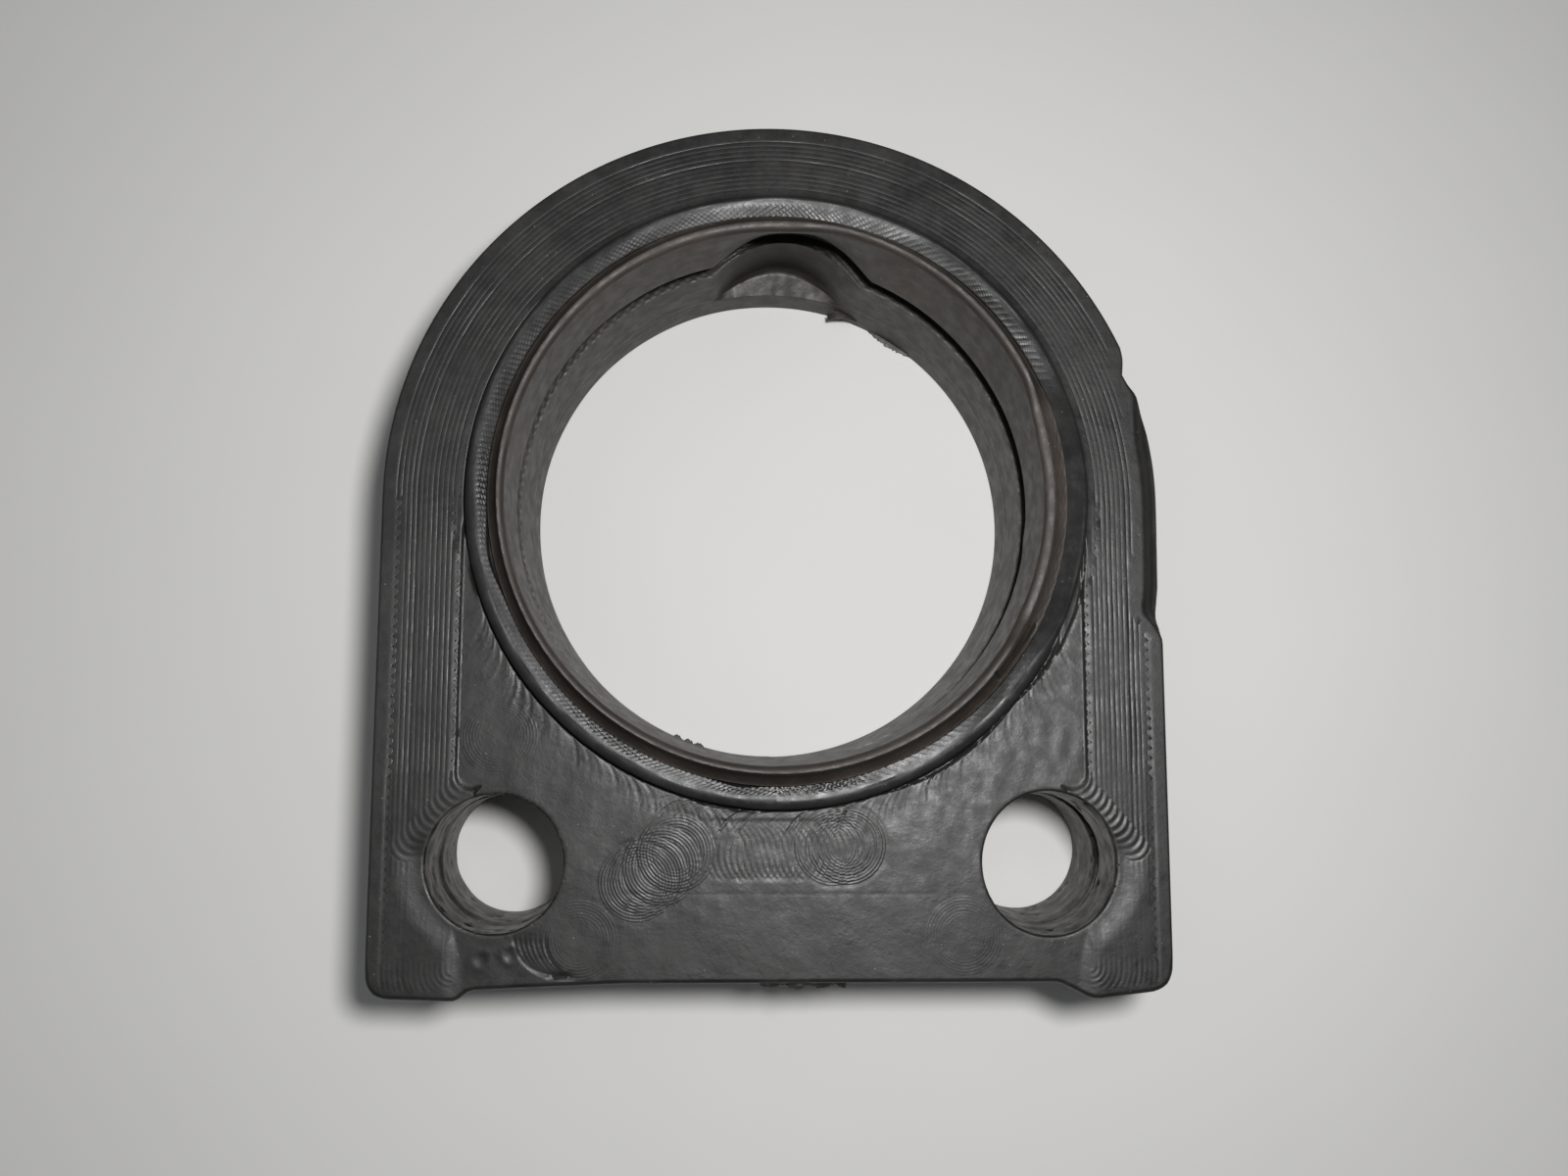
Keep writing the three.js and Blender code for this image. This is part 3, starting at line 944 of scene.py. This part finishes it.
def lip_liner(material):
    """The smooth lip and sleeve inside the collar, flared out at its foot where the notch passes."""
    angle = full_turn(LINER_COLUMNS)
    shift = ring_offset(angle)
    wide = window(turn_from(angle, 38), -22, 26, 16)
    worn = window(turn_from(angle, 93), -20, 22, 10)
    split = window(angle, 117.5, 129.0, 0.25)
    kink = 0.6 * bump(turn_from(angle, 97), 0, 3)
    foot = LINER_FOOT_Z + 0.12 * ripple(angle, 0, 40.0, 81) - kink
    rise = notch_rise(4.4, 19.0, 1.35, LINER_COLUMNS)
    flare = (NOTCH_RADIUS_LINER - BORE_RADIUS_SEAM) * rise
    mouth = LINER_MOUTH + 0.3 * shift + 0.5 * wide + 0.04 * ripple(angle, 0, 35.0, 83)

    def ring(radius, z):
        return eye_ring(radius, z, LINER_COLUMNS)

    def inside(share):
        """Radius of the liner's bore, from its foot at 0 to its mouth at 1."""
        return BORE_RADIUS_SEAM + (mouth - BORE_RADIUS_SEAM) * share + flare * (1 - share) ** 1.1

    rim_z = 20.75 - 0.75 * worn
    back = np.maximum(LINER_OUTER, np.minimum(inside(0) + 0.35, NOTCH_RADIUS_FRONT - 0.15))
    rows = [ring(back, foot), ring(inside(0) + 0.1, foot), ring(inside(0), foot + 0.1)]
    for share in np.linspace(0, 1, 22)[1:]:
        z = foot + 0.1 + (rim_z - foot - 0.1) * share
        rows.append(ring(inside(share) + 0.015 * ripple(angle, z * 6, 15.0, 85), z))
    top_in = 28.2 + 0.6 * shift + 0.3 * wide
    top_out = 28.38 + 0.8 * shift + 0.2 * wide
    top_z = LIP_Z - 0.06 - 1.0 * worn
    for share in np.linspace(0, 1, 11)[1:]:
        turn = share * math.pi / 2
        radius = mouth + (top_in - mouth) * (1 - math.cos(turn))
        rows.append(ring(radius, rim_z + (top_z - rim_z) * math.sin(turn)))
    edge = LINER_OUTER + CREASE_SPREAD + shift
    crease_z = CREASE_Z - 0.1 + 0.66 * worn
    cut = 0.5 * bump(angle, 129.3, 0.3)
    for share in np.linspace(0, 1, 21)[1:]:
        over_top = (top_out - top_in) * min(1, share * 5)
        radius = top_in + over_top + (edge - top_out) * max(0, share - 0.2) / 0.8
        curve = 1 - (1 - max(0, share - 0.08) / 0.92) ** 1.6
        fall = (top_z - crease_z) * curve * smooth(share, 0.0, 0.45)
        grain = 0.015 * ripple(angle * 4, radius * 9, 3.0, 87)
        flap = split * (0.25 * smooth(share, 0.0, 0.2) * (1 - smooth(share, 0.62, 0.68)))
        slit = 0.35 * window(angle, 116.5, 129.3, 0.4) * bump(share, 0.74, 0.06)
        open_cut = cut * (1 - smooth(share, 0.65, 0.8))
        rows.append(ring(radius, top_z - fall + grain + flap - slit - open_cut))
    rows += [
        ring(edge, CREASE_Z - 0.7),
        ring(edge, SEAT_Z + 0.15),
        ring(LINER_OUTER, SEAT_Z - 0.15),
        ring(LINER_OUTER, NOTCH_ROOF_Z + 0.15),
        ring(back, NOTCH_ROOF_Z - 0.75),
        rows[0],
    ]
    shell = Shell()
    shell.grid(rows)
    return shell.build("lip_liner", material, "eye_liner")


# ------------ flash, shreds and the gate stub
def ribbon(name, path, widths, thickness, material, seed):
    """A ragged strip of flash along a path of (x, y, z) points, as a closed thin body."""
    path = np.asarray(path, float)
    along = np.gradient(path, axis=0)
    across = np.cross(along, (0, 0, 1.0))
    across /= np.linalg.norm(across, axis=1, keepdims=True)
    random = np.random.default_rng(seed)
    ragged = np.asarray(widths) * random.uniform(0.75, 1.2, len(path))
    half = thickness / 2
    lift = np.array([0, 0, half])
    far = path + across * ragged[:, None]
    middle = path + across * ragged[:, None] * 0.5
    under = [path - lift, middle - lift * 1.1, far - lift * 0.4]
    over = [far + lift * 0.4, middle + lift * 1.1, path + lift]
    rings = np.stack(under + over, axis=1)
    shell = Shell()
    shell.grid(rings)
    for end in (rings[0], rings[-1]):
        shell.add(end, [list(range(len(end)))])
    return shell.build(name, material)


def back_rim_path(first, sweep, shares):
    """A path along the eye's back rim, from a compass angle over a sweep."""
    path = []
    for share in shares:
        x, y = polar(BORE_RADIUS_BACK + 0.15, first + sweep * share)
        path.append((x, y, 0.2))
    return path


def flash_pieces(material):
    shares = np.linspace(0, 1, 26)
    path = back_rim_path(26, 13, shares)
    ribbon("bore_flash", path, 0.15 + 0.55 * np.sin(math.pi * shares), 0.22, material, 91)
    curl = []
    for share in shares:
        x, y = polar(BORE_RADIUS_BACK + 0.25 - 1.35 * share**1.3, 25 - 9.5 * share)
        curl.append((x, y, 0.45 + 1.6 * math.sin(math.pi * share * 0.7)))
    ribbon("bore_shred", curl, 0.95 - 0.25 * shares, 0.2, material, 92)
    path = back_rim_path(196, 8, shares)
    widths = 0.1 + 0.35 * np.abs(np.sin(9 * shares))
    ribbon("lower_bore_flash", path, widths, 0.2, material, 93)
    gate = []
    for share in np.linspace(0, 1, 34):
        y = -48.75 + 0.1 * math.sin(9 * share)
        gate.append((-1.4 + 8.7 * share, y, 16.4 + 0.35 * math.sin(17 * share)))
    widths = 0.35 + 0.3 * np.sin(np.linspace(0, 11, 34)) ** 2
    ribbon("gate_stub", gate, widths, 0.5, material, 94)


# ------------ materials
class Nodes:
    """A short way to write a material's nodes."""

    def __init__(self, name):
        self.material = bpy.data.materials.new(name)
        self.material.use_nodes = True
        self.tree = self.material.node_tree
        self.tree.nodes.clear()
        output = self.new("OutputMaterial")
        self.shader = self.new("BsdfPrincipled")
        self.link(self.shader.outputs["BSDF"], output.inputs["Surface"])
        coordinates = self.new("TexCoord")
        scale = self.new("VectorMath")
        scale.operation = "SCALE"
        scale.inputs["Scale"].default_value = 1 / MM
        self.link(coordinates.outputs["Object"], scale.inputs[0])
        self.position = scale.outputs[0]

    def new(self, kind):
        return self.tree.nodes.new("ShaderNode" + kind)

    def link(self, source, target):
        self.tree.links.new(source, target)

    def put(self, value, socket):
        """Links an output, or sets a plain value."""
        if isinstance(value, bpy.types.NodeSocket):
            self.link(value, socket)
        else:
            socket.default_value = value

    def math(self, operation, first, second=0.0, clamp=False):
        node = self.new("Math")
        node.operation = operation
        node.use_clamp = clamp
        self.put(first, node.inputs[0])
        self.put(second, node.inputs[1])
        return node.outputs[0]

    def times(self, first, second, clamp=False):
        return self.math("MULTIPLY", first, second, clamp)

    def noise(self, size_mm, detail=3.0, roughness=0.6):
        node = self.new("TexNoise")
        node.inputs["Scale"].default_value = 1 / size_mm
        node.inputs["Detail"].default_value = detail
        node.inputs["Roughness"].default_value = roughness
        self.link(self.position, node.inputs["Vector"])
        return node.outputs["Fac"]

    def cells(self, size_mm):
        node = self.new("TexVoronoi")
        node.inputs["Scale"].default_value = 1 / size_mm
        self.link(self.position, node.inputs["Vector"])
        return node.outputs["Distance"]

    def ramp(self, value, low, high, out_low=0.0, out_high=1.0):
        node = self.new("MapRange")
        node.interpolation_type = "SMOOTHSTEP"
        self.put(value, node.inputs["Value"])
        ends = {"From Min": low, "From Max": high, "To Min": out_low, "To Max": out_high}
        for name, number in ends.items():
            node.inputs[name].default_value = number
        return node.outputs["Result"]

    def blend(self, share, first, second):
        node = self.new("Mix")
        node.data_type = "RGBA"
        self.put(share, node.inputs["Factor"])
        self.put(first, node.inputs[6])
        self.put(second, node.inputs[7])
        return node.outputs[2]

    def relief(self, height, distance_mm, normal=None):
        node = self.new("Bump")
        node.inputs["Strength"].default_value = 1.0
        node.inputs["Distance"].default_value = distance_mm * MM
        self.link(height, node.inputs["Height"])
        if normal is not None:
            self.link(normal, node.inputs["Normal"])
        return node.outputs["Normal"]

    def distance_from(self, x, y):
        """Distance in millimetres from the upright axis through a point given from the eye's centre."""
        offset = self.new("VectorMath")
        offset.operation = "MULTIPLY_ADD"
        offset.inputs[1].default_value = (1, 1, 0)
        offset.inputs[2].default_value = (-x, -y - EYE_CENTRE.y / MM, 0)
        self.link(self.position, offset.inputs[0])
        length = self.new("VectorMath")
        length.operation = "LENGTH"
        self.link(offset.outputs[0], length.inputs[0])
        return length.outputs["Value"]


def swirl_pattern(nodes):
    """Fine rings inside each swirl on the floor, as a height."""
    total = None
    for centre_x, centre_y, strength in SWIRLS:
        distance = nodes.distance_from(centre_x, centre_y)
        rings = nodes.math("SINE", nodes.times(distance, CIRCLE / 0.31))
        rings = nodes.times(rings, nodes.ramp(distance, 3.8, 4.1, strength, 0.0))
        rings = nodes.times(rings, nodes.ramp(distance, 1.0, 3.0))
        total = rings if total is None else nodes.math("ADD", total, rings)
    return total


def near_bolt_holes(nodes):
    """1 inside either bolt hole and 0 elsewhere."""
    inside = []
    for side in (-1, 1):
        distance = nodes.distance_from(side * BOLT_X, BOLT_Y)
        inside.append(nodes.ramp(distance, BOLT_RADIUS_FRONT + 0.1, BOLT_RADIUS_FRONT + 0.5, 1.0, 0.0))
    return nodes.math("ADD", *inside, clamp=True)


SPECK_COLOUR = (0.32, 0.29, 0.26, 1)
# A lighter grey-brown for patches on the bolt-hole walls.
BOLT_WALL_PATCH_COLOUR = (0.10, 0.088, 0.078, 1)
# Near-black painted shade for the insides of pits.
PIT_SHADE_COLOUR = (0.004, 0.004, 0.004, 1)


def rubber(name, dark, dust, rough, pits=0.5, dusting=0.5, swirls=False):
    """Black moulded rubber: patchy dust, fine pits dented and painted near-black as painted shade (most of
    them on the bolt-hole walls), pale specks and an uneven sheen.
    """
    nodes = Nodes(name)
    patches = nodes.noise(9.0, 4.0, 0.62)
    grain = nodes.noise(0.35, 5.0, 0.7)
    streaks = nodes.noise(1.6, 3.0, 0.6)
    dusty = nodes.times(nodes.ramp(patches, 0.38, 0.68), dusting)
    dusty = nodes.math("ADD", dusty, nodes.times(nodes.ramp(streaks, 0.5, 0.75), 0.3 * dusting))
    dusty = nodes.times(dusty, nodes.ramp(grain, 0.3, 0.7, 0.55, 1.0), clamp=True)
    colour = nodes.blend(dusty, dark, dust)
    dots = nodes.ramp(nodes.cells(1.3), 0.035, 0.065, 1.0, 0.0)
    specks = nodes.times(dots, nodes.ramp(patches, 0.4, 0.55))
    colour = nodes.blend(nodes.times(specks, 0.6), colour, SPECK_COLOUR)
    # Pits: dented by a bump and painted near-black, which is painted shade inside them; most of them sit
    # on the bolt-hole walls.
    pores = nodes.ramp(nodes.cells(0.75), 0.1, 0.26, 1.0, 0.0)
    holes = nodes.times(pores, nodes.ramp(streaks, 0.45, 0.6))
    bolt_walls = near_bolt_holes(nodes)
    pit_dent_and_shade_weight = nodes.math("ADD", nodes.times(bolt_walls, 0.9), 0.1 * pits)
    pit_dent_and_shade = nodes.times(holes, pit_dent_and_shade_weight, clamp=True)
    # Lighter grey-brown noise patches, only on the bolt-hole walls.
    wall_patches = nodes.ramp(nodes.noise(2.4, 4.0, 0.7), 0.45, 0.6)
    bolt_wall_patches = nodes.times(bolt_walls, wall_patches)
    colour = nodes.blend(nodes.times(bolt_wall_patches, 0.35), colour, BOLT_WALL_PATCH_COLOUR)
    colour = nodes.blend(pit_dent_and_shade, colour, PIT_SHADE_COLOUR)
    nodes.link(colour, nodes.shader.inputs["Base Color"])
    shine = nodes.ramp(streaks, 0.3, 0.7, rough - 0.07, rough + 0.08)
    shine = nodes.math("ADD", shine, nodes.times(dusty, 0.1))
    nodes.link(shine, nodes.shader.inputs["Roughness"])
    nodes.shader.inputs["IOR"].default_value = 1.5
    normal = nodes.relief(pit_dent_and_shade, -0.07)
    normal = nodes.relief(grain, 0.010, normal)
    normal = nodes.relief(nodes.noise(1.1, 3.0, 0.6), 0.03, normal)
    normal = nodes.relief(nodes.noise(0.09, 2.0), 0.004, normal)
    if swirls:
        normal = nodes.relief(swirl_pattern(nodes), 0.008, normal)
    nodes.link(normal, nodes.shader.inputs["Normal"])
    return nodes.material


def pale_floor_material():
    nodes = Nodes("pale_floor")
    shade = nodes.blend(nodes.noise(40.0), (0.78, 0.77, 0.75, 1), (0.82, 0.81, 0.79, 1))
    nodes.link(shade, nodes.shader.inputs["Base Color"])
    nodes.shader.inputs["Roughness"].default_value = 0.85
    return nodes.material


# ------------ stage
def make_floor():
    size = 1.5
    mesh = bpy.data.meshes.new("pale_floor")
    corners = [(-size, -size, 0), (size, -size, 0), (size, size, 0), (-size, size, 0)]
    mesh.from_pydata(corners, [], [(0, 1, 2, 3)])
    mesh.materials.append(pale_floor_material())
    ground = add_object("pale_floor", mesh)
    ground.location.z = cad_low.z - 0.00002


def make_light(name, location, target, size, power):
    lamp = bpy.data.lights.new(name, "AREA")
    lamp.shape = "DISK"
    lamp.size = size
    lamp.energy = power
    item = add_object(name, lamp)
    item.location = location
    item.rotation_euler = (Vector(target) - Vector(location)).to_track_quat("-Z", "Y").to_euler()


def make_lights():
    face = (0, 0, FACE_Z * MM)
    make_light("key", KEY_PLACE, face, 0.03, 0.27)
    make_light("fill", FILL_PLACE, face, 0.7, 0.35)
    world = bpy.data.worlds.new("studio")
    world.use_nodes = True
    background = world.node_tree.nodes["Background"]
    background.inputs["Color"].default_value = (0.9, 0.95, 1.0, 1)
    background.inputs["Strength"].default_value = 0.08
    bpy.context.scene.world = world


def make_camera():
    camera = bpy.data.cameras.new("camera")
    camera.lens = CAMERA_LENS
    camera.sensor_width = 36.0
    camera.clip_start = 0.005
    item = add_object("camera", camera)
    item.location = CAMERA_PLACE
    item.rotation_euler = [math.radians(angle) for angle in CAMERA_TURN]
    bpy.context.scene.camera = item


make_camera()
make_floor()
make_lights()
bpy.context.scene.view_settings.view_transform = "Standard"

BACK_RUBBER = rubber(
    "back_rubber",
    dark=(0.019, 0.016, 0.014, 1),
    dust=(0.060, 0.050, 0.043, 1),
    rough=0.46, pits=1.0,
)
FRONT_RUBBER = rubber(
    "front_rubber",
    dark=(0.0125, 0.0115, 0.011, 1),
    dust=(0.042, 0.039, 0.037, 1),
    rough=0.42, pits=0.2, dusting=0.4, swirls=True,
)
COLLAR_RUBBER = rubber(
    "collar_rubber",
    dark=(0.016, 0.015, 0.0145, 1),
    dust=(0.05, 0.047, 0.046, 1),
    rough=0.38, pits=0.2, dusting=0.4,
)
LINER_RUBBER = rubber(
    "liner_rubber",
    dark=(0.034, 0.027, 0.022, 1),
    dust=(0.078, 0.062, 0.052, 1),
    rough=0.50, dusting=0.6,
)

back_casting(BACK_RUBBER)
front_casting(FRONT_RUBBER)
collar_ring(COLLAR_RUBBER)
lip_liner(LINER_RUBBER)
flash_pieces(BACK_RUBBER)
